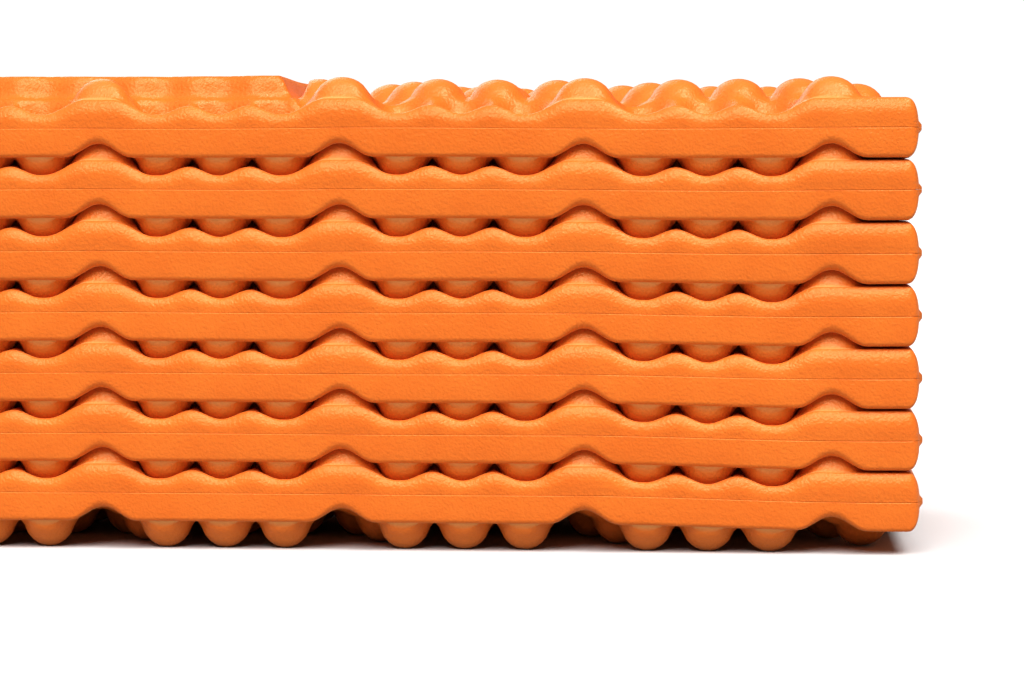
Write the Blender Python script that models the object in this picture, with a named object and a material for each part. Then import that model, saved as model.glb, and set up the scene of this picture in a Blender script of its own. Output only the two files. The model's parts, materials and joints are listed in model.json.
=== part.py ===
"""Closed-cell foam sleeping pad, folded like an accordion into a block of fourteen panels.

Units are metres. X runs along the creases, +Y from the front folds to the back ones, +Z up, and
the origin is on the ground under the middle of the block. Panel 1 lies on the ground. Front
creases join panels 1-2, 3-4 ... 13-14, back creases join panels 2-3, 4-5 ... 12-13. Every panel
is the same egg-crate sheet, so the panels nest. Each one is parented to the panel under it and
has its origin on the crease that it turns about.
"""
import math

import bmesh
import bpy
from mathutils import Vector
from mathutils.geometry import delaunay_2d_cdt

# Driving dimensions.
PANEL_COUNT = 14
PAD_WIDTH = 0.508  # along the creases
PANEL_LENGTH = 0.1307  # crease to crease, so the open pad is 1.83 m long
PANEL_PITCH = 0.00943  # height that each panel adds to the folded stack
STACK_GAP = 0.0004  # air between two nested panels
WALL_SETBACK = 0.0018  # from a crease's axis to the end wall of a panel

# Egg-crate pattern. Heights are measured from the level of a panel's creases.
DOME_SPACING = 0.0189  # along a row
DOME_ROWS = 8
DOME_RISE = 0.0065
BUMP_DROP = 0.0086
PATTERN_REPEAT = 4  # one node in four along a row stands the other way
LAST_DOME = 12.5  # spacings from the middle to the last node of a row
FOOT_RADIUS = 0.0022  # flat tips under the bottom panel
WALL_POINT_STEP = 1  # spacings between the points along an end wall

# Crease web: a half-round bar behind the crease's axis.
CREASE_RADIUS = 0.0014
CREASE_SETBACK = 0.0001  # from the axis to the bar's flat side
CREASE_OVERHANG = 0.0015  # nub past each side of the pad
CREASE_SEGMENTS = 8

# Blank raised area on the top panel.
PLATEAU_LENGTH = 0.116
PLATEAU_DEPTH = 0.0987
PLATEAU_RISE = 0.0077
PLATEAU_END_DRAFT = 0.003
PLATEAU_SIDE_DRAFT = 0.002

FOAM_COLOUR = (0.93, 0.21, 0.028, 1.0)
CREASE_COLOUR = (0.80, 0.16, 0.02, 1.0)
FOAM_ROUGHNESS = 0.75

ROW_PITCH = PANEL_LENGTH / DOME_ROWS
HALF_LENGTH = PANEL_LENGTH / 2
HALF_WIDTH = PAD_WIDTH / 2
WALL_Y = HALF_LENGTH - WALL_SETBACK


def level(interface):
    """Height of the creases between panel number `interface` and the one above it."""
    return BUMP_DROP + interface * PANEL_PITCH


def clear_scene():
    for item in list(bpy.data.objects):
        bpy.data.objects.remove(item, do_unlink=True)


def foam_material(name, colour):
    material = bpy.data.materials.new(name)
    material.use_nodes = True
    shader = material.node_tree.nodes["Principled BSDF"]
    shader.inputs["Base Color"].default_value = colour
    shader.inputs["Roughness"].default_value = FOAM_ROUGHNESS
    shader.inputs["Metallic"].default_value = 0.0
    return material


def row_of_nodes(row):
    """(x, y, height) of each dome and bump in one row. The lone node of every four moves half a
    spacing along from row to row, and is a dome in one row and a bump in the next."""
    y = (row + 0.5) * ROW_PITCH - HALF_LENGTH
    lone_place = row / 2
    lone_rises = row % 2 == 0
    first = LAST_DOME - (0.0 if row % 2 else 0.5)
    nodes = []
    for step in range(int(2 * first) + 1):
        place = step - first
        lone = (place - lone_place) % PATTERN_REPEAT == 0
        height = DOME_RISE if lone == lone_rises else -BUMP_DROP
        nodes.append((place * DOME_SPACING, y, height))
    return nodes


def outline_points():
    """Points round the edge of a panel, all at the level of its creases."""
    points = []
    for side in (-1, 1):
        for row in range(DOME_ROWS):
            y = (row + 0.5) * ROW_PITCH - HALF_LENGTH
            points.append((side * HALF_WIDTH, y, 0.0))
        points.append((-HALF_WIDTH, side * WALL_Y, 0.0))
        points.append((HALF_WIDTH, side * WALL_Y, 0.0))
        reach = int(LAST_DOME)
        for place in range(-reach, reach + 1, WALL_POINT_STEP):
            points.append((place * DOME_SPACING, side * WALL_Y, 0.0))
    return points


def egg_crate_points():
    points = outline_points()
    for row in range(DOME_ROWS):
        points += row_of_nodes(row)
    return points


def footed_points():
    """Egg crate whose downward bumps end in flat tips, for the side that lies on the ground."""
    points = outline_points()
    for row in range(DOME_ROWS):
        for x, y, height in row_of_nodes(row):
            if height > 0:
                points.append((x, y, height))
                continue
            for turn in range(4):
                angle = turn * math.pi / 2
                tip_x = x + FOOT_RADIUS * math.cos(angle)
                tip_y = y + FOOT_RADIUS * math.sin(angle)
                points.append((tip_x, tip_y, height))
    return points


def rectangle(half_x, half_y, height, spacing):
    """Points round a rectangle, no further apart than spacing."""
    corners = [(-half_x, -half_y), (half_x, -half_y), (half_x, half_y), (-half_x, half_y)]
    points = []
    for index, (x, y) in enumerate(corners):
        next_x, next_y = corners[(index + 1) % 4]
        pieces = math.ceil(max(abs(next_x - x), abs(next_y - y)) / spacing)
        for piece in range(pieces):
            part = piece / pieces
            points.append((x + (next_x - x) * part, y + (next_y - y) * part, height))
    return points


def plateau_points():
    """Egg crate with a blank flat-topped block in its middle, and the block's two outlines as
    index pairs, which the triangles must follow."""
    half_x = PLATEAU_LENGTH / 2
    half_y = PLATEAU_DEPTH / 2
    foot_x = half_x + PLATEAU_END_DRAFT
    foot_y = half_y + PLATEAU_SIDE_DRAFT
    points = []
    for point in egg_crate_points():
        if abs(point[0]) > foot_x or abs(point[1]) > foot_y:
            points.append(point)
    creases = []
    rings = (
        rectangle(foot_x, foot_y, 0.0, DOME_SPACING),
        rectangle(half_x, half_y, PLATEAU_RISE, PLATEAU_LENGTH),
    )
    for ring in rings:
        start = len(points)
        points += ring
        for step in range(len(ring)):
            creases.append((start + step, start + (step + 1) % len(ring)))
    return points, creases


def add_sheet(shape, points, creases, height):
    """Adds a surface through the points to a bmesh and returns its open edges."""
    flat = [Vector((x, y)) for x, y, _ in points]
    _, _, triangles, sources, _, _ = delaunay_2d_cdt(flat, creases, [], 0, 1e-7)
    corners = []
    for source in sources:
        x, y, rise = points[source[0]]
        corners.append(shape.verts.new((x, y, height + rise)))
    faces = [shape.faces.new([corners[index] for index in triangle]) for triangle in triangles]
    return list({edge for face in faces for edge in face.edges if edge.is_boundary})


def finish_object(name, shape, colour, parent, place):
    """Makes an object of a bmesh that is in world coordinates, with its origin at place."""
    bmesh.ops.recalc_face_normals(shape, faces=shape.faces)
    bmesh.ops.translate(shape, verts=shape.verts, vec=-place)
    mesh = bpy.data.meshes.new(name)
    shape.to_mesh(mesh)
    shape.free()
    mesh.materials.append(foam_material(name, colour))
    item = bpy.data.objects.new(name, mesh)
    bpy.context.collection.objects.link(item)
    item.location = place
    if parent:
        item.parent = parent
        item.location = place - joint_place(parent)
    return item


def joint_place(item):
    """World place of an object's origin, added up along its parents."""
    place = item.location.copy()
    if item.parent:
        place += joint_place(item.parent)
    return place


def crease_place(interface):
    """Middle of a crease. Odd interfaces fold at the front, even ones at the back."""
    side = -1 if interface % 2 else 1
    return Vector((0.0, side * HALF_LENGTH, level(interface)))


def make_panel(number, below):
    """One egg-crate panel, between the interfaces number - 1 and number."""
    shape = bmesh.new()
    low_points = footed_points() if number == 1 else egg_crate_points()
    high_points, creases = egg_crate_points(), []
    if number == PANEL_COUNT:
        high_points, creases = plateau_points()
    low_edges = add_sheet(shape, low_points, [], level(number - 1))
    high_edges = add_sheet(shape, high_points, creases, level(number) - STACK_GAP)
    bmesh.ops.bridge_loops(shape, edges=low_edges + high_edges)
    place = crease_place(number - 1) if below else Vector((0.0, 0.0, 0.0))
    return finish_object(f"panel_{number:02d}", shape, FOAM_COLOUR, below, place)


def make_crease(interface, panel):
    """The web of foam that joins two panels: a half-round bar that ends in a nub at each side."""
    place = crease_place(interface)
    inward = 1 if place.y < 0 else -1
    half_turn = math.acos(CREASE_SETBACK / CREASE_RADIUS)
    half_bar = HALF_WIDTH + CREASE_OVERHANG
    shape = bmesh.new()
    rim = []
    for step in range(CREASE_SEGMENTS + 1):
        angle = half_turn * (2 * step / CREASE_SEGMENTS - 1)
        y = place.y + inward * CREASE_RADIUS * math.cos(angle)
        z = place.z + CREASE_RADIUS * math.sin(angle)
        rim.append(shape.verts.new((-half_bar, y, z)))
    end_cap = shape.faces.new(rim)
    grown = bmesh.ops.extrude_face_region(shape, geom=[end_cap])["geom"]
    far_end = [element for element in grown if isinstance(element, bmesh.types.BMVert)]
    bmesh.ops.translate(shape, verts=far_end, vec=(2 * half_bar, 0.0, 0.0))
    fold, order = ("front", (interface + 1) // 2) if interface % 2 else ("back", interface // 2)
    finish_object(f"{fold}_crease_{order}", shape, CREASE_COLOUR, panel, place)


def main():
    clear_scene()
    below = None
    for number in range(1, PANEL_COUNT + 1):
        panel = make_panel(number, below)
        if number < PANEL_COUNT:
            make_crease(number, panel)
        below = panel


main()
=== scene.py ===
"""Looks of the folded foam sleeping pad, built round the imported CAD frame.

Every panel is one closed egg-crate body made by formula, and every crease a thin bead that joins
two of them. X runs along the creases, +Y from the front folds to the back ones, +Z up. Interface k
is the surface between panels k and k + 1. Odd interfaces fold at the front, even ones at the back.
"""
import json
import math

import bpy
import numpy as np
from mathutils import Matrix, Vector

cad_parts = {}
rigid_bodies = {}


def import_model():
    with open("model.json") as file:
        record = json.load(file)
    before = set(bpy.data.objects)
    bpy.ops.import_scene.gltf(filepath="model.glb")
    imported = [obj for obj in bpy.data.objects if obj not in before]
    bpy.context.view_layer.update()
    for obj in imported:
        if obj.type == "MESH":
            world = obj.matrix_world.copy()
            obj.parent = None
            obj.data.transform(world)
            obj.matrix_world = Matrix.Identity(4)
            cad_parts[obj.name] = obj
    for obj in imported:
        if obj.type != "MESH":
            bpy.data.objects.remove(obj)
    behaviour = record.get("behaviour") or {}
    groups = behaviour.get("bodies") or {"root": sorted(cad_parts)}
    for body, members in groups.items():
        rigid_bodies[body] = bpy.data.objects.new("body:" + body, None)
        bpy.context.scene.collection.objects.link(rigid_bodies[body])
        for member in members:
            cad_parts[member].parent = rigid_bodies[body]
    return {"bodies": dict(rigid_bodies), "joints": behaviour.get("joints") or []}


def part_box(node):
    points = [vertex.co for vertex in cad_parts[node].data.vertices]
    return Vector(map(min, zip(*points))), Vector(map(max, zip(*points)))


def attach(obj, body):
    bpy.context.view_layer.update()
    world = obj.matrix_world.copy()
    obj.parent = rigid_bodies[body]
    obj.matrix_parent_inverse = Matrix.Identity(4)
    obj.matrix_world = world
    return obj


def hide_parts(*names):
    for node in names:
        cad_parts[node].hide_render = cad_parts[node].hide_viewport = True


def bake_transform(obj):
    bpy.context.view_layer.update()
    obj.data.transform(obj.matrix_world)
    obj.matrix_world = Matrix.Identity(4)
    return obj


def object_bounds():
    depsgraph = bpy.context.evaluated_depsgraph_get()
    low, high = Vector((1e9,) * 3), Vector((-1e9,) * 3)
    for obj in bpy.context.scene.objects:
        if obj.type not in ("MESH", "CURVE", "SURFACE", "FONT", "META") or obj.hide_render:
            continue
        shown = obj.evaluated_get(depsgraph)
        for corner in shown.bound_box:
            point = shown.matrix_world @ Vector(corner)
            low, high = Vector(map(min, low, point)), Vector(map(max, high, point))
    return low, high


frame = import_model()
cad_low, cad_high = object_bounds()

# Sizes that come from the frame, in metres.
CREASES = [Vector(joint["pos_m"]) for joint in frame["joints"]]
PANEL_COUNT = len(frame["bodies"])
PITCH = CREASES[1].z - CREASES[0].z  # height of one panel in the stack
HALF_LENGTH = CREASES[1].y
SIDE_INSET = 0.0008  # from the CAD panel's side to the foam's
HALF_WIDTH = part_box("panel_02")[1].x - SIDE_INSET
PLATEAU_TOP = cad_high.z

# Egg-crate pattern, as in the CAD.
SPACING = 0.0189
ROWS = 8
ROW_INSET = 0.0009  # the rows keep this much further in from the folds
ROW_PITCH = 2 * (HALF_LENGTH - ROW_INSET) / ROWS
LAST_DOME = 12.5  # spacings
PLACE_TOLERANCE = 0.1  # spacings
FAR = 1.0  # distance of a node that isn't there
DOME_RISE = 0.0065
DOME_RADIUS = 0.0086
BUMP_DROP = 0.0086
BUMP_RADIUS = 0.0083
HOLLOW_MARGIN = 0.0002  # how much wider a hollow is than what nests in it
DOME_SOFTNESS = 0.12  # how gently a foot runs into the surface round it
BUMP_SOFTNESS = 0.04
FOOT_REACH = 1.2  # foot of a dome, in radii
BUMP_REACH = 1.05  # and of a bump
SADDLE_DEPTH = 0.0023  # how far the ridge between two hollows lies below them
SADDLE_REACH = 0.0055
SADDLE_CLEAR = 0.015  # no saddle nearer than this to a node of the other kind

# Rim of a fold: how the egg-crate surface ends at an outer edge.
ARCH_RISE = 0.0043
ARCH_HALF_WIDTH = 0.57  # spacings
NOTCH_DROP = 0.0047
NOTCH_PEAK_DROP = 0.0020
HUMP_FLAT = 0.22  # spacings each side of a dome before the rim falls
HUMP_FOOT = 0.92  # and where it has reached the notch
EDGE_LIFT = 0.0003  # the edges of two panels stand this far off each other's level
DOME_FRONT = 0.0016  # how quickly a dome's front rises behind the rim
BUMP_FRONT = 0.00035  # how quickly a bump's front drops
BUMP_SHARE = 0.60  # to this share of its depth
BUMP_BELLY = 0.0070  # how far in it reaches the rest
LONG_BLEND = 0.0070  # how far in a hollow shallower than the rim joins the pattern
CREASE_BLEND = 0.0050  # the pattern fades out over this much before a crease
LIP_HEIGHT = 0.00035  # small groove just behind the rim
LIP_DEPTH = 0.0011

# Shape of a fold's nose.
NOSE_SETBACK = 0.0002  # from the crease's axis to the foam
BELLY_ROUND = 0.0085  # radius of a wall's belly below its upper edge
RIM_ROUND = 0.0010  # and of the edge itself
RIM_SHARE = 0.25  # at most this share of the belly's radius
BOTTOM_ROUND = 0.0014
ARCH_ROUND = 0.0026  # the lower edge is rounder over an arch
ROUND_SHARE = 0.8  # most of a wall's height that its rounding takes up
SIDE_ROUND = 0.0038  # width of the pad's rounded sides
CORNER_ROUND = 0.0045  # depth of the folds' rounded corners
NOSE_POWER = 2.3  # squareness of both
BELLY_TURN = math.radians(34)  # how far a wall turns over its belly
EDGE_TURN = math.radians(80)  # and by its edge
GROOVE_DEPTH = 0.00014  # the walls dip towards the crease
GROOVE_REACH = 0.0030
NEST_GAP = 0.0001  # from each panel to the interface it nests at
SIDE_CLOSING = 0.8  # share of that gap which closes towards the sides
SIDE_EDGE_SHARE = 0.10  # of a panel's thickness left at its side edge

# Nub of flash at each end of a front crease.
NUB_LENGTH = 0.0009
NUB_REACH = 0.0030
NUB_POWER = 220  # only the outermost edge stands out

# Crease bead.
BEAD_HALF_HEIGHT = 0.0010
BEAD_DEPTH = 0.0006
BEAD_RECESS = 0.00004  # behind the bottom of the groove
BEAD_FRONT = NOSE_SETBACK + GROOVE_DEPTH + BEAD_RECESS
FRONT_BEAD_END = 0.45  # how far round the noses' corners the beads reach
BACK_BEAD_END = 0.25
BEAD_END_STEPS = 8
BEAD_TAPER = 0.9  # a bead's section thins towards its end
BEAD_TAPER_POWER = 6
BEAD_STEP = 0.004
BEAD_SIDES = 14

# Painted highlights on edges and beads, and paler crowns, from 0 to 1.
CROWN_PALING = 0.25  # of domes and bumps
CROWN_PALING_POWER = 3
RIM_HIGHLIGHT_POWER = 12  # the painted highlight lies on only the very edge of a rounded edge
# painted highlight on one half of each crease bead's section
BEAD_HIGHLIGHT = 0.1

# Mesh fineness.
WALL_STEPS = 5
ROUND_STEPS = 6
SIDE_STEPS = 9
STEPS_PER_SPACING = 13
ROW_STEPS = ((0.0045, 0.0005), (0.0340, 0.0012), (HALF_LENGTH, 0.0019))  # (up to, step)

# Blank raised area on the top panel.
PLATEAU_HALF_X = 0.0545
PLATEAU_HALF_Y = 0.0500
PLATEAU_DRAFT_X = 0.0050
PLATEAU_DRAFT_Y = 0.0030
PLATEAU_LEDGE = 0.0014
PLATEAU_LEDGE_ROUND = 0.0022
PLATEAU_FLUTE = 0.0010
PLATEAU_ROW_STEP = 0.0008

# Soft foam doesn't lie quite evenly.
SAG = 0.0009  # of the top panel's middle
SAG_START = 0.012
SAG_REACH = 0.050
SPREAD = 0.0011  # how much wider the bottom layer lies than the top one, each side
SPREAD_POWER = 5
LOOSE = 0.0005  # the upper layers are pressed less
LOOSE_START = 0.084
LOOSE_REACH = 0.025
LOW_SHARE = 0.5  # the lower ones are pressed more, by this share
LOW_REACH = 0.050
# A span is the length over which a wave turns by one radian.
WAVE_HEIGHT, WAVE_SPAN, WAVE_PHASE = 0.00035, 0.047, 1.3  # the layers wave up and down
RIPPLE_HEIGHT, RIPPLE_SPAN_X, RIPPLE_SPAN_Z = 0.00025, 0.021, 0.04
TUCK_DEPTH, TUCK_SPAN, TUCK_PHASE = 0.00022, 0.0112, 0.6  # some folds lie further in
TUCK_RIPPLE, TUCK_SPAN_X, TUCK_SPAN_Z = 0.00012, 0.063, 0.017
DROOP_TOP = 0.0007  # how much lower the right end lies at the top
DROOP_BOTTOM = 0.0017  # and near the bottom
DROOP_START = 0.150
DROOP_REACH = 0.090
PRESSED = 0.010  # the feet on the floor are squashed over this height


def level(interface):
    """Height of an interface between two panels."""
    return CREASES[0].z + (interface - 1) * PITCH


def smoothstep(value):
    """From 0 to 1 with a level start and end."""
    value = np.clip(value, 0.0, 1.0)
    return value * value * (3 - 2 * value)


def cap(distance, softness, reach):
    """Height of a ball with a soft foot, from 1 in its middle to 0 at reach radii."""
    def rounded(square):
        inside = 1 - square
        return np.sqrt((inside + np.sqrt(inside * inside + softness ** 2)) / 2)

    foot = rounded(reach ** 2)
    crown = rounded(0.0)
    near = np.minimum(distance, reach)
    return np.clip((rounded(near * near) - foot) / (crown - foot), 0.0, 1.0)


def node_rises(place, row):
    """True for a dome and False for a bump at a place along a row."""
    lone = np.isclose(np.mod(place - row / 2, 4), 0)
    return lone == (row % 2 == 0)


def in_row(place, row):
    """True for the places along a row that hold a dome or a bump."""
    last = LAST_DOME - 0.5 * ((row + 1) % 2)
    return np.abs(place) < last + PLACE_TOLERANCE


def node_distances(x, y):
    """Distance of every point from the middle of the nearest dome and of the nearest bump."""
    dome = np.full(np.broadcast(x, y).shape, FAR)
    bump = dome.copy()
    for row in range(ROWS):
        row_y = (row + 0.5 - ROWS / 2) * ROW_PITCH
        offset = 0.5 * (row % 2)
        for side in (0, 1):
            place = np.floor(x / SPACING - offset) + offset + side
            distance = np.hypot(x - place * SPACING, y - row_y)
            distance = np.where(in_row(place, row), distance, FAR)
            rises = node_rises(place, row)
            dome = np.where(rises, np.minimum(dome, distance), dome)
            bump = np.where(rises, bump, np.minimum(bump, distance))
    return dome, bump


def saddle(near, other):
    """How much of a saddle there is at one distance from a hollow and one from the other kind."""
    fade = 1 - smoothstep((near - BUMP_RADIUS) / SADDLE_REACH)
    clear = 1 - smoothstep((SADDLE_CLEAR - other) / (SADDLE_CLEAR - BUMP_RADIUS))
    return SADDLE_DEPTH * fade * clear


def pattern(x, y, faces_up):
    """Height of the egg-crate surface above the level of the creases, and how exposed it is."""
    dome, bump = node_distances(x, y)
    if faces_up:
        rise = DOME_RISE * cap(dome / DOME_RADIUS, DOME_SOFTNESS, FOOT_REACH)
        drop = BUMP_DROP * cap(bump / (BUMP_RADIUS + HOLLOW_MARGIN), DOME_SOFTNESS, FOOT_REACH)
        drop = np.maximum(drop, saddle(bump, dome))
        exposed = cap(dome / DOME_RADIUS, DOME_SOFTNESS, FOOT_REACH) ** CROWN_PALING_POWER
    else:
        rise = DOME_RISE * cap(dome / (DOME_RADIUS + HOLLOW_MARGIN), DOME_SOFTNESS, FOOT_REACH)
        rise = np.maximum(rise, saddle(dome, bump))
        drop = BUMP_DROP * cap(bump / BUMP_RADIUS, BUMP_SOFTNESS, BUMP_REACH)
        exposed = cap(bump / BUMP_RADIUS, DOME_SOFTNESS, FOOT_REACH) ** CROWN_PALING_POWER
    return rise - drop, exposed


def ease(share):
    """From 0 to 1 along half a cosine wave."""
    return (1 - np.cos(math.pi * np.clip(share, 0.0, 1.0))) / 2


def rim_height(x, row, faces_up):
    """Where the pattern's outermost row cuts the end wall of a panel."""
    offset = 0.5 * (row % 2)
    place = np.round(x / SPACING - offset) + offset
    off = np.abs(x / SPACING - place)
    exists = in_row(place, row)
    rises = node_rises(place, row) & exists
    toward = place + np.where(x / SPACING > place, 1, -1)
    toward_exists = in_row(toward, row)
    toward_rises = node_rises(toward, row) & toward_exists
    toward_drops = ~node_rises(toward, row) & toward_exists
    if not faces_up:
        nearest = np.where(rises, off, np.where(toward_rises, 1 - off, 1.0))
        return EDGE_LIFT + ARCH_RISE * (1 - ease(nearest / ARCH_HALF_WIDTH))
    # On a hump the rim keeps level, then falls into the notch over the next bump.
    fall_reach = HUMP_FOOT - HUMP_FLAT
    peak = NOTCH_PEAK_DROP + (NOTCH_DROP - NOTCH_PEAK_DROP) * (1 - ease(off / 0.5))
    rise = NOTCH_DROP * (1 - ease((off - 1 + HUMP_FOOT) / fall_reach))
    fall = NOTCH_DROP * ease((off - HUMP_FLAT) / fall_reach)
    over_bump = np.where(toward_drops, peak, rise)
    over_dome = np.where(toward_drops, fall, 0.0)
    return -EDGE_LIFT - np.where(~rises & exists, over_bump, over_dome)


def edge_radius(x, row, faces_up):
    """Radius of a panel's upper or lower outer edge along X."""
    if faces_up:
        return np.full_like(x, BELLY_ROUND)
    arch = (rim_height(x, row, False) - EDGE_LIFT) / ARCH_RISE
    return BOTTOM_ROUND + (ARCH_ROUND - BOTTOM_ROUND) * arch


def is_crease(interface, side):
    """True if the panels on both sides of an interface are joined at that edge."""
    if interface in (0, PANEL_COUNT):
        return False
    return (interface % 2 == 1) == (side == "front")


def surface(x, y, y_front, y_back, interface, faces_up):
    """Heights of one side of a panel above its interface's level, and how pale their crowns are.
    """
    height, exposed = pattern(x, y, faces_up)
    painted_highlight_and_paling = CROWN_PALING * exposed
    if faces_up and interface == PANEL_COUNT:
        height, painted_highlight_and_paling = add_plateau(height, painted_highlight_and_paling, x, y)
    for side, depth, row in (("front", y - y_front, 0), ("back", y_back - y, ROWS - 1)):
        if is_crease(interface, side):
            height = height * smoothstep(depth / CREASE_BLEND)
            continue
        rim = rim_height(x + 0 * y, row, faces_up)
        slow = rim + (height - rim) * smoothstep(depth / LONG_BLEND)
        if faces_up:
            short = rim + (height - rim) * (1 - np.exp(-depth / DOME_FRONT))
            height = np.where(height > 0, short, np.minimum(short, slow))
            groove = np.sin(math.pi * np.clip(depth / (2 * LIP_DEPTH), 0, 1))
            height = height - LIP_HEIGHT * groove
        else:
            front = BUMP_SHARE * (1 - np.exp(-depth / BUMP_FRONT))
            front = front + (1 - BUMP_SHARE) * smoothstep(depth / BUMP_BELLY)
            short = rim + (height - rim) * front
            height = np.where(height < 0, short, np.maximum(short, slow))
    return height, painted_highlight_and_paling


def add_plateau(height, painted_highlight_and_paling, x, y):
    """Raises the blank flat-topped area out of the pattern, with a narrow ledge at its foot."""
    flute = PLATEAU_FLUTE * np.cos(2 * math.pi * (x / SPACING - 0.5))
    out_x = np.abs(x) - PLATEAU_HALF_X
    out_y = np.abs(y) - PLATEAU_HALF_Y - flute
    beyond = np.maximum(out_x - PLATEAU_DRAFT_X, out_y - PLATEAU_DRAFT_Y) - PLATEAU_LEDGE
    foot = 1 - beyond / PLATEAU_LEDGE_ROUND
    slope = np.minimum(1 - out_x / PLATEAU_DRAFT_X, 1 - out_y / PLATEAU_DRAFT_Y)
    rise = PLATEAU_TOP - level(PANEL_COUNT)
    height = height * (1 - smoothstep(foot))
    return height + (rise - height) * smoothstep(slope), painted_highlight_and_paling * (1 - smoothstep(foot))


def side_curve(turn):
    """How far out and how far forward a rounded corner lies at a share of its turn."""
    angle = turn * math.pi / 2
    return np.sin(angle) ** (2 / NOSE_POWER), np.cos(angle) ** (2 / NOSE_POWER)


def column_layout():
    """Places of a panel's columns along X, and how far each is round the side's curve (0 to 1)."""
    inner = HALF_WIDTH - SIDE_ROUND
    count = round(2 * inner / SPACING * STEPS_PER_SPACING)
    straight = np.linspace(-inner, inner, count + 1)
    turn = np.linspace(0, 1, SIDE_STEPS + 1)[1:]
    curve = inner + SIDE_ROUND * side_curve(turn)[0]
    x = np.concatenate([-curve[::-1], straight, curve])
    round_share = np.concatenate([turn[::-1], np.zeros(len(straight)), turn])
    return x, round_share


def row_layout(number):
    """Shares of the way from a panel's front edge to its back edge, finer at both edges."""
    length = 2 * HALF_LENGTH
    places = []
    start = 0.0
    for stop, step in ROW_STEPS:
        places += list(np.arange(start, stop - step / 2, step))
        start = stop
    places += [length - place for place in places]
    if number == PANEL_COUNT:
        for side in (-1, 1):
            face = HALF_LENGTH + side * (PLATEAU_HALF_Y + PLATEAU_DRAFT_Y / 2)
            reach = PLATEAU_DRAFT_Y + PLATEAU_LEDGE + PLATEAU_LEDGE_ROUND
            places = [place for place in places if abs(place - face) > reach]
            places += list(np.arange(face - reach, face + reach, PLATEAU_ROW_STEP))
    return np.array(sorted(places)) / length


def rounding(radius, faces_up):
    """How far along a wall and how far in each step of an edge's rounding lies."""
    if faces_up:
        rim = np.minimum(RIM_ROUND, RIM_SHARE * radius)
        arcs = ((radius, 0.0, BELLY_TURN), (rim, BELLY_TURN, EDGE_TURN))
    else:
        arcs = ((radius, 0.0, EDGE_TURN),)
    steps = [(0.0 * radius, 0.0 * radius)]
    for size, first, last in arcs:
        along, deep = steps[-1]
        for step in range(1, ROUND_STEPS + 1):
            angle = first + (last - first) * step / ROUND_STEPS
            steps.append((along + size * (math.sin(angle) - math.sin(first)),
                          deep + size * (math.cos(first) - math.cos(angle))))
    return steps


def half_wall(edge, start, end, radius, from_crease, inward):
    """Points from a wall's middle or crease to its edge: a straight part, then the rounding.
    The straight part's steps are shortest at its start, which keeps a crease's shading narrow."""
    sign = np.sign(end - start)
    steps = rounding(radius, sign.flat[0] > 0)
    straight = np.abs(end - start) - steps[-1][0]
    points = []
    for step in range(WALL_STEPS):
        points.append((straight * (step / WALL_STEPS) ** 2, 0.0, 0.0))
    for step, (along, deep) in enumerate(steps):
        # The outer end of each rounded edge gets a painted highlight.
        points.append((straight + along, deep, (step / (len(steps) - 1)) ** RIM_HIGHLIGHT_POWER))
    placed = []
    for out, deep, painted_highlight_and_paling in points:
        groove = GROOVE_DEPTH * (1 - smoothstep(out / GROOVE_REACH)) if from_crease else 0.0
        placed.append((edge + inward * (deep + groove), start + sign * out,
                       np.full_like(start, painted_highlight_and_paling)))
    return placed


def wall(edge, low, high, low_radius, high_radius, inward):
    """Points of an end wall from its lower edge to its upper one. A crease has no radius."""
    if low_radius is None:
        return half_wall(edge, low, high, high_radius, True, inward)
    if high_radius is None:
        return half_wall(edge, high, low, low_radius, True, inward)[::-1]
    middle = (low + high) / 2
    lower = half_wall(edge, middle, low, low_radius, False, inward)
    return lower[:0:-1] + half_wall(edge, middle, high, high_radius, False, inward)


def panel_grids(number):
    """Cross-section loops of a panel: arrays of y, z and painted highlight with crown paling, one
    row per point of the loop and one column per place along X, with the x places."""
    x, round_share = column_layout()
    rows = row_layout(number)[:, None]
    low_face, high_face = number - 1, number
    forward = side_curve(round_share)[1]
    corner = CORNER_ROUND * (1 - forward)
    front = -HALF_LENGTH + NOSE_SETBACK + corner
    back = HALF_LENGTH - NOSE_SETBACK - corner
    # The side facing an even interface curves towards the other side at the pad's sides.
    share = np.maximum(forward, SIDE_EDGE_SHARE)
    inner_up = high_face % 2 == 1
    faces = {}
    radii = {}
    for interface, faces_up in ((low_face, False), (high_face, True)):
        edges = []
        for side, row in (("front", 0), ("back", ROWS - 1)):
            radius = None
            if not is_crease(interface, side):
                tall = PITCH + rim_height(x, row, faces_up) * (1 if faces_up else -1)
                if not is_crease(low_face + high_face - interface, side):
                    tall = tall / 2
                most = ROUND_SHARE * tall * share / math.sin(BELLY_TURN if faces_up else EDGE_TURN)
                radius = np.minimum(edge_radius(x, row, faces_up), most)
            radii[faces_up, side] = radius
            edges.append(GROOVE_DEPTH if radius is None else rounding(radius, faces_up)[-1][1])
        y_front = front + edges[0]
        y_back = back - edges[1]
        y = y_front + (y_back - y_front) * rows
        height, painted_highlight_and_paling = surface(x[None, :], y, y_front, y_back, interface, faces_up)
        gap = NEST_GAP * (1 - SIDE_CLOSING * round_share ** 2)
        z = level(interface) + height + (-gap if faces_up else gap)
        faces[faces_up] = [y, z, painted_highlight_and_paling]
    inner_level = level(high_face if inner_up else low_face)
    outer_z = faces[not inner_up][1]
    faces[not inner_up][1] = inner_level + (outer_z - inner_level) * share
    low, high = faces[False], faces[True]
    front_wall = wall(front, low[1][0], high[1][0], radii[False, "front"], radii[True, "front"], 1)
    back_wall = wall(back, low[1][-1], high[1][-1], radii[False, "back"], radii[True, "back"], -1)
    loop = [[part[row] for part in low] for row in range(len(rows) - 2, 0, -1)]
    loop += front_wall
    loop += [[part[row] for part in high] for row in range(1, len(rows) - 1)]
    loop += back_wall[::-1]
    y, z, painted_highlight_and_paling = (np.array([point[k] for point in loop]) for k in range(3))
    return x, y, z, painted_highlight_and_paling


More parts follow.
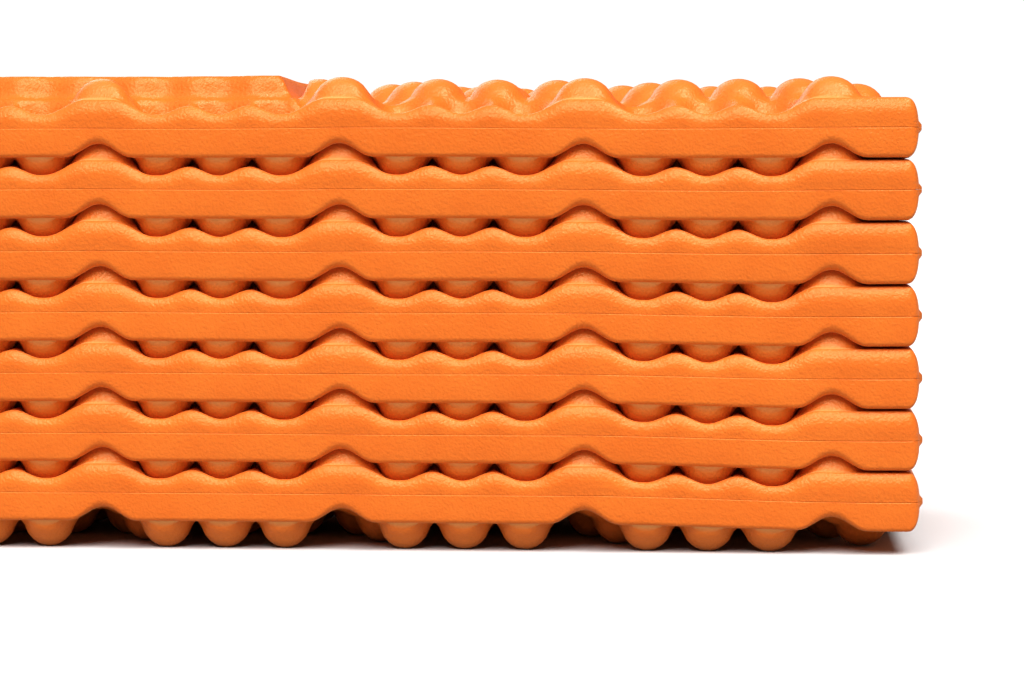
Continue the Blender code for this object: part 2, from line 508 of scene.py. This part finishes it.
def settle(x, y, z):
    """The slight unevenness of soft folded foam, the same for all that touches at a place."""
    lift = z / PLATEAU_TOP
    wave = WAVE_HEIGHT * np.sin(x / WAVE_SPAN + WAVE_PHASE)
    wave = wave + RIPPLE_HEIGHT * np.sin(x / RIPPLE_SPAN_X + z / RIPPLE_SPAN_Z)
    tuck = TUCK_DEPTH * (1 + np.sin(z / TUCK_SPAN + TUCK_PHASE))
    tuck = tuck + TUCK_RIPPLE * (1 + np.sin(x / TUCK_SPAN_X + z / TUCK_SPAN_Z))
    sag = SAG * smoothstep((HALF_LENGTH - np.abs(y) - SAG_START) / SAG_REACH)
    upper = smoothstep((z - LOOSE_START) / LOOSE_REACH)
    loose = LOOSE * (upper - LOW_SHARE * smoothstep(z / LOW_REACH))
    spread = SPREAD * (1 - lift) * (x / HALF_WIDTH) ** SPREAD_POWER
    droop = (DROOP_BOTTOM + (DROOP_TOP - DROOP_BOTTOM) * lift) * smoothstep(z / PRESSED)
    droop = droop * smoothstep((x - DROOP_START) / DROOP_REACH)
    # The folds only ever lie inside their creases, so opened panels clear each other.
    new_y = y * (1 - tuck / HALF_LENGTH)
    return x + spread, new_y, z + (wave - sag) * lift + loose - droop


def mesh_from_loops(name, x, y, z, painted_highlight_and_paling):
    """A closed mesh from cross-section loops, with flat ends and, at each point, its share of
    painted highlight and crown paling.
    """
    loops, columns = y.shape
    points = np.stack([np.broadcast_to(x, y.shape), y, z], axis=-1).reshape(-1, 3)
    index = np.arange(loops * columns).reshape(loops, columns)
    after = np.roll(index, -1, axis=0)
    quads = np.stack([index[:, :-1], index[:, 1:], after[:, 1:], after[:, :-1]], axis=-1)
    quads = quads.reshape(-1, 4)
    corners = np.concatenate([quads.ravel(), index[:, 0], index[::-1, -1]]).astype(np.int32)
    sizes = np.concatenate([np.full(len(quads), 4), [loops, loops]])
    starts = np.concatenate([[0], np.cumsum(sizes)[:-1]]).astype(np.int32)
    mesh = bpy.data.meshes.new(name)
    mesh.vertices.add(len(points))
    mesh.vertices.foreach_set("co", points.astype(np.float32).ravel())
    mesh.loops.add(len(corners))
    mesh.loops.foreach_set("vertex_index", corners)
    mesh.polygons.add(len(sizes))
    mesh.polygons.foreach_set("loop_start", starts)
    mesh.update(calc_edges=True)
    mesh.validate()
    wear = mesh.attributes.new("wear", "FLOAT", "POINT")
    wear.data.foreach_set("value", painted_highlight_and_paling.astype(np.float32).ravel())
    mesh.shade_smooth()
    return mesh


def add_node(tree, kind, inputs=None, **settings):
    """A shader node with its settings, its plain values, and links from (node, output) pairs."""
    node = tree.nodes.new(kind)
    for key, value in settings.items():
        setattr(node, key, value)
    for key, value in (inputs or {}).items():
        if isinstance(value, tuple) and isinstance(value[0], bpy.types.Node):
            tree.links.new(value[0].outputs[value[1]], node.inputs[key])
        else:
            node.inputs[key].default_value = value
    return node


def foam_material(name, colour, deep_colour, highlight_and_paling_colour, grain_depth):
    """Closed-cell foam skin: pitted grain, cloudy colour, and a pale colour painted as highlights
    on edges and beads and laid on the crowns.
    """
    material = bpy.data.materials.new(name)
    material.use_nodes = True
    tree = material.node_tree
    shader = tree.nodes["Principled BSDF"]
    place = add_node(tree, "ShaderNodeTexCoord")
    at = (place, "Object")
    clouds = add_node(tree, "ShaderNodeTexNoise",
                      {"Vector": at, "Scale": 55.0, "Detail": 3.0, "Roughness": 0.55})
    specks = add_node(tree, "ShaderNodeTexNoise",
                      {"Vector": at, "Scale": 1500.0, "Detail": 2.0, "Roughness": 0.6})
    cells = add_node(tree, "ShaderNodeTexNoise",
                     {"Vector": at, "Scale": 1150.0, "Detail": 1.0, "Roughness": 0.5})
    skin = add_node(tree, "ShaderNodeTexNoise",
                    {"Vector": at, "Scale": 420.0, "Detail": 2.0, "Roughness": 0.5})
    cloud_share = add_node(tree, "ShaderNodeMapRange",
                           {"Value": (clouds, "Fac"), "From Min": 0.32, "From Max": 0.68,
                            "To Min": 0.0, "To Max": 0.55})
    speck_share = add_node(tree, "ShaderNodeMapRange",
                           {"Value": (specks, "Fac"), "From Min": 0.42, "From Max": 0.72,
                            "To Min": 0.0, "To Max": 0.5})
    cloudy = add_node(tree, "ShaderNodeMix",
                      {"Factor": (cloud_share, "Result"), 6: colour, 7: deep_colour},
                      data_type="RGBA")
    speckled = add_node(tree, "ShaderNodeMix",
                        {"Factor": (speck_share, "Result"), 6: (cloudy, 2), 7: deep_colour},
                        data_type="RGBA")
    # A pale colour painted as a highlight on edges and beads, and on the paler crowns, patchy with
    # the clouds.
    wear = add_node(tree, "ShaderNodeAttribute", attribute_name="wear")
    patchy = add_node(tree, "ShaderNodeMapRange",
                      {"Value": (clouds, "Fac"), "From Min": 0.3, "From Max": 0.7,
                       "To Min": 0.55, "To Max": 1.0})
    highlight_and_paling_amount = add_node(tree, "ShaderNodeMath",
                          {0: (wear, "Fac"), 1: (patchy, "Result")}, operation="MULTIPLY")
    painted_highlight_and_paling = add_node(tree, "ShaderNodeMix",
                    {"Factor": (highlight_and_paling_amount, "Value"), 6: (speckled, 2), 7: highlight_and_paling_colour},
                    data_type="RGBA")
    tree.links.new(painted_highlight_and_paling.outputs[2], shader.inputs["Base Color"])
    gloss = add_node(tree, "ShaderNodeMapRange",
                     {"Value": (specks, "Fac"), "From Min": 0.3, "From Max": 0.7,
                      "To Min": 0.27, "To Max": 0.44})
    tree.links.new(gloss.outputs["Result"], shader.inputs["Roughness"])
    pits = add_node(tree, "ShaderNodeBump",
                    {"Strength": 0.75, "Distance": grain_depth, "Height": (cells, "Fac")})
    dents = add_node(tree, "ShaderNodeBump",
                     {"Strength": 0.20, "Distance": 2 * grain_depth, "Height": (skin, "Fac"),
                      "Normal": (pits, "Normal")})
    tree.links.new(dents.outputs["Normal"], shader.inputs["Normal"])
    shader.inputs["Specular IOR Level"].default_value = 0.48
    shader.inputs["Specular Tint"].default_value = (1.0, 0.80, 0.50, 1.0)
    shader.inputs["Sheen Weight"].default_value = 0.03
    shader.inputs["Sheen Roughness"].default_value = 0.35
    shader.inputs["Sheen Tint"].default_value = (1.0, 0.72, 0.50, 1.0)
    return material


def link(name, data):
    """Puts a mesh, light or camera into the scene as an object."""
    item = bpy.data.objects.new(name, data)
    bpy.context.scene.collection.objects.link(item)
    return item


def make_panel(number, material):
    """One panel, with a nub of flash at each end of its front crease."""
    x, y, z, painted_highlight_and_paling = panel_grids(number)
    share = np.clip((np.abs(x) - HALF_WIDTH + SIDE_ROUND) / SIDE_ROUND, 0, 1)
    depth = y - y.min(axis=0)
    nub = NUB_LENGTH * share ** NUB_POWER * (1 - smoothstep(depth / NUB_REACH))
    x, y, z = settle(x[None, :] + np.sign(x) * nub, y, z)
    name = f"panel_{number:02d}"
    mesh = mesh_from_loops(f"foam_{name}", x, y, np.maximum(z, 0.0), painted_highlight_and_paling)
    mesh.materials.append(material)
    piece = link(f"foam_{name}", mesh)
    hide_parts(name)
    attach(piece, name)


def make_crease(interface, material):
    """The bead where two panels are joined. Its ends turn in with the noses' corners."""
    front = interface % 2 == 1
    inward = 1 if front else -1
    axis_y = -inward * HALF_LENGTH
    inner = HALF_WIDTH - SIDE_ROUND
    long_part = np.linspace(-inner, inner, round(2 * inner / BEAD_STEP) + 1)
    turn = np.linspace(0, FRONT_BEAD_END if front else BACK_BEAD_END, BEAD_END_STEPS + 1)[1:]
    out, forward = side_curve(turn)
    end = inner + SIDE_ROUND * out
    end_bend = CORNER_ROUND * (1 - forward)
    x = np.concatenate([-end[::-1], long_part, end])
    bend = np.concatenate([end_bend[::-1], np.zeros_like(long_part), end_bend])
    share = np.clip((np.abs(x) - inner) / (end[-1] - inner), 0, 1)
    size = np.sqrt(1 - BEAD_TAPER * share ** BEAD_TAPER_POWER)
    angles = np.arange(BEAD_SIDES) * 2 * math.pi / BEAD_SIDES
    middle = axis_y + inward * (BEAD_FRONT + BEAD_DEPTH)
    y = middle + inward * (bend - BEAD_DEPTH * np.outer(np.cos(angles), size))
    z = level(interface) + BEAD_HALF_HEIGHT * np.outer(np.sin(angles) * inward, size)
    x, y, z = settle(x[None, :], y, z)
    # Painted highlight on one half of the bead's section: the upper half at a front crease, the
    # lower half at a back crease.
    painted_highlight_and_paling = np.clip(np.outer(np.sin(angles), size), 0, 1) * BEAD_HIGHLIGHT
    name = f"front_crease_{(interface + 1) // 2}" if front else f"back_crease_{interface // 2}"
    mesh = mesh_from_loops(f"foam_{name}", x, y, z, painted_highlight_and_paling)
    mesh.materials.append(material)
    piece = link(f"foam_{name}", mesh)
    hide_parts(name)
    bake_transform(piece)


# The last colour of each material is the pale colour of the painted highlights and paler crowns.
FOAM = foam_material("foam", (0.87, 0.230, 0.033, 1), (0.78, 0.174, 0.022, 1),
                     (0.95, 0.48, 0.17, 1), 0.00024)
CREASE_FOAM = foam_material("crease_foam", (0.85, 0.215, 0.031, 1), (0.76, 0.162, 0.020, 1),
                            (0.93, 0.44, 0.14, 1), 0.00018)
for number in range(1, PANEL_COUNT + 1):
    make_panel(number, FOAM)
for interface in range(1, PANEL_COUNT):
    make_crease(interface, CREASE_FOAM)

# Floor and light.
FLOOR_HALF_SIZE = 12.0
FLOOR_WHITE = 0.76
FLOOR_ROUGHNESS = 0.9
FLOOR_BOUNCE = 0.42  # the floor throws less light back onto the pad than the camera sees on it


def grey(value):
    """An opaque grey."""
    return (value, value, value, 1)


floor_mesh = bpy.data.meshes.new("floor")
floor_corners = [(side_x * FLOOR_HALF_SIZE, side_y * FLOOR_HALF_SIZE, 0)
                 for side_x, side_y in ((-1, -1), (1, -1), (1, 1), (-1, 1))]
floor_mesh.from_pydata(floor_corners, [], [(0, 1, 2, 3)])
floor = link("floor", floor_mesh)
floor_material = bpy.data.materials.new("floor")
floor_material.use_nodes = True
floor_tree = floor_material.node_tree
floor_shader = floor_tree.nodes["Principled BSDF"]
ray = add_node(floor_tree, "ShaderNodeLightPath")
floor_colour = add_node(floor_tree, "ShaderNodeMix",
                        {"Factor": (ray, "Is Camera Ray"),
                         6: grey(FLOOR_BOUNCE), 7: grey(FLOOR_WHITE)}, data_type="RGBA")
floor_tree.links.new(floor_colour.outputs[2], floor_shader.inputs["Base Color"])
floor_shader.inputs["Roughness"].default_value = FLOOR_ROUGHNESS
floor_shader.inputs["Specular IOR Level"].default_value = 0.0
floor_mesh.materials.append(floor_material)

WORLD_FRONT = 0.12
WORLD_BACK = 1.05
WORLD_BACK_START, WORLD_BACK_END = 0.84, 0.89  # of Y less Z of a direction
VIEW_GAMMA = 0.86
world = bpy.data.worlds.new("studio")
world.use_nodes = True
sky = world.node_tree
direction = add_node(sky, "ShaderNodeTexCoord")
parts = add_node(sky, "ShaderNodeSeparateXYZ", {"Vector": (direction, "Generated")})
# Only the low part of the sky behind the pad lights it brightly. The camera sees it all bright.
low_back = add_node(sky, "ShaderNodeMath", {0: (parts, "Y"), 1: (parts, "Z")},
                    operation="SUBTRACT")
strength = add_node(sky, "ShaderNodeMapRange",
                    {"Value": (low_back, "Value"), "From Min": WORLD_BACK_START,
                     "From Max": WORLD_BACK_END, "To Min": WORLD_FRONT, "To Max": WORLD_BACK})
sky_ray = add_node(sky, "ShaderNodeLightPath")
seen = add_node(sky, "ShaderNodeMath", {0: (sky_ray, "Is Camera Ray"), 1: WORLD_BACK},
                operation="MULTIPLY")
shown = add_node(sky, "ShaderNodeMath", {0: (strength, "Result"), 1: (seen, "Value")},
                 operation="MAXIMUM")
backdrop = sky.nodes["Background"]
backdrop.inputs["Color"].default_value = (1, 1, 1, 1)
sky.links.new(shown.outputs["Value"], backdrop.inputs["Strength"])
bpy.context.scene.world = world
bpy.context.scene.view_settings.view_transform = "Standard"
bpy.context.scene.view_settings.gamma = VIEW_GAMMA


def soft_sun(name, direction_to_light, strength, softness):
    """A large softbox so far away that it lights the whole floor evenly."""
    light = bpy.data.lights.new(name, "SUN")
    light.energy = strength
    light.angle = math.radians(softness)
    item = link(name, light)
    item.rotation_euler = Vector(direction_to_light).to_track_quat("Z", "Y").to_euler()


soft_sun("right", (0.38, -0.34, 0.86), 2.5, 26)
soft_sun("left", (-0.45, -0.25, 0.86), 0.45, 60)
soft_sun("back", (-0.50, 0.70, 0.50), 1.2, 50)
soft_sun("fill", (-0.05, -0.69, 0.72), 2.2, 34)

# Camera at the photograph's angle.
CAMERA_PLACE = (0.2047, -0.9225, 0.1169)
CAMERA_YAW, CAMERA_PITCH, CAMERA_ROLL = (math.radians(a) for a in (-5.03, -3.41, -0.21))
CAMERA_LENS = 98.44
CAMERA_SENSOR = 36.0
CAMERA_NEAR = 0.01
forward = Vector((math.sin(CAMERA_YAW) * math.cos(CAMERA_PITCH),
                  math.cos(CAMERA_YAW) * math.cos(CAMERA_PITCH), math.sin(CAMERA_PITCH)))
level_right = Vector((math.cos(CAMERA_YAW), -math.sin(CAMERA_YAW), 0.0))
level_up = level_right.cross(forward)
right = level_right * math.cos(CAMERA_ROLL) + level_up * math.sin(CAMERA_ROLL)
up = level_up * math.cos(CAMERA_ROLL) - level_right * math.sin(CAMERA_ROLL)
camera_data = bpy.data.cameras.new("camera")
camera_data.sensor_width = CAMERA_SENSOR
camera_data.lens = CAMERA_LENS
camera_data.clip_start = CAMERA_NEAR
camera = link("camera", camera_data)
turned = Matrix((right, up, -forward)).transposed().to_4x4()
camera.matrix_world = Matrix.Translation(CAMERA_PLACE) @ turned
bpy.context.scene.camera = camera
